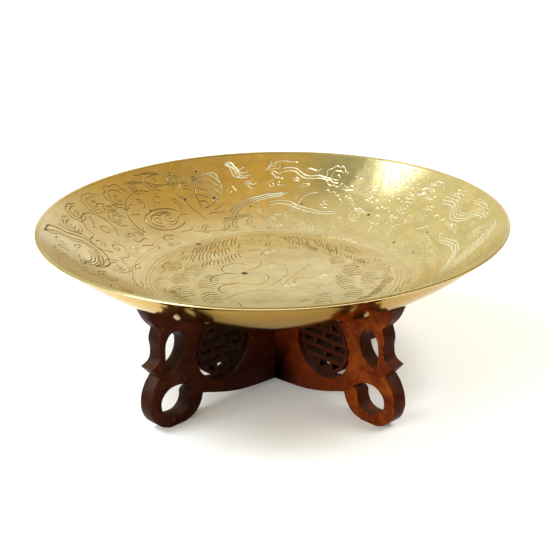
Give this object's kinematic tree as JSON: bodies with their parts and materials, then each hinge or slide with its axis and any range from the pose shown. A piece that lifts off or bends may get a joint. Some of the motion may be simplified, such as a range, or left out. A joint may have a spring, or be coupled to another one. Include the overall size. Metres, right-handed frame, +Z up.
{
  "type": "brass tray on stand",
  "caption": "Round engraved brass dish, used as a tray, resting on a knock-down stand of crossed, pierced and carved hardwood boards.",
  "frame": {"origin": "on the surface the stand rests on, under the crossing of the two boards", "axes": "+Z up, +X along the upper board, +Y along the lower board"},
  "size_m": [0.38, 0.38, 0.1433],
  "materials": {
    "brass": "polished, hand-engraved, lightly tarnished",
    "hardwood": "red-brown lacquer, satin",
    "fretwork": "dark stained, dusty satin"
  },
  "bodies": {
    "stand_lower": {"lower_board": "hardwood", "fret_disc_front_left": "fretwork", "fret_disc_back_right": "fretwork"},
    "stand_upper": {"upper_board": "hardwood", "fret_disc_front_right": "fretwork", "fret_disc_back_left": "fretwork"},
    "dish": {"brass_dish": "brass"}
  },
  "joints": [
    {"name": "board_lift", "type": "slide", "parent": "stand_lower", "child": "stand_upper", "axis": [0, 0, 1], "range_m": [0, 0.1]},
    {"name": "dish_lift", "type": "slide", "parent": "stand_upper", "child": "dish", "axis": [0, 0, 1], "range_m": [0, 0.08]}
  ]
}
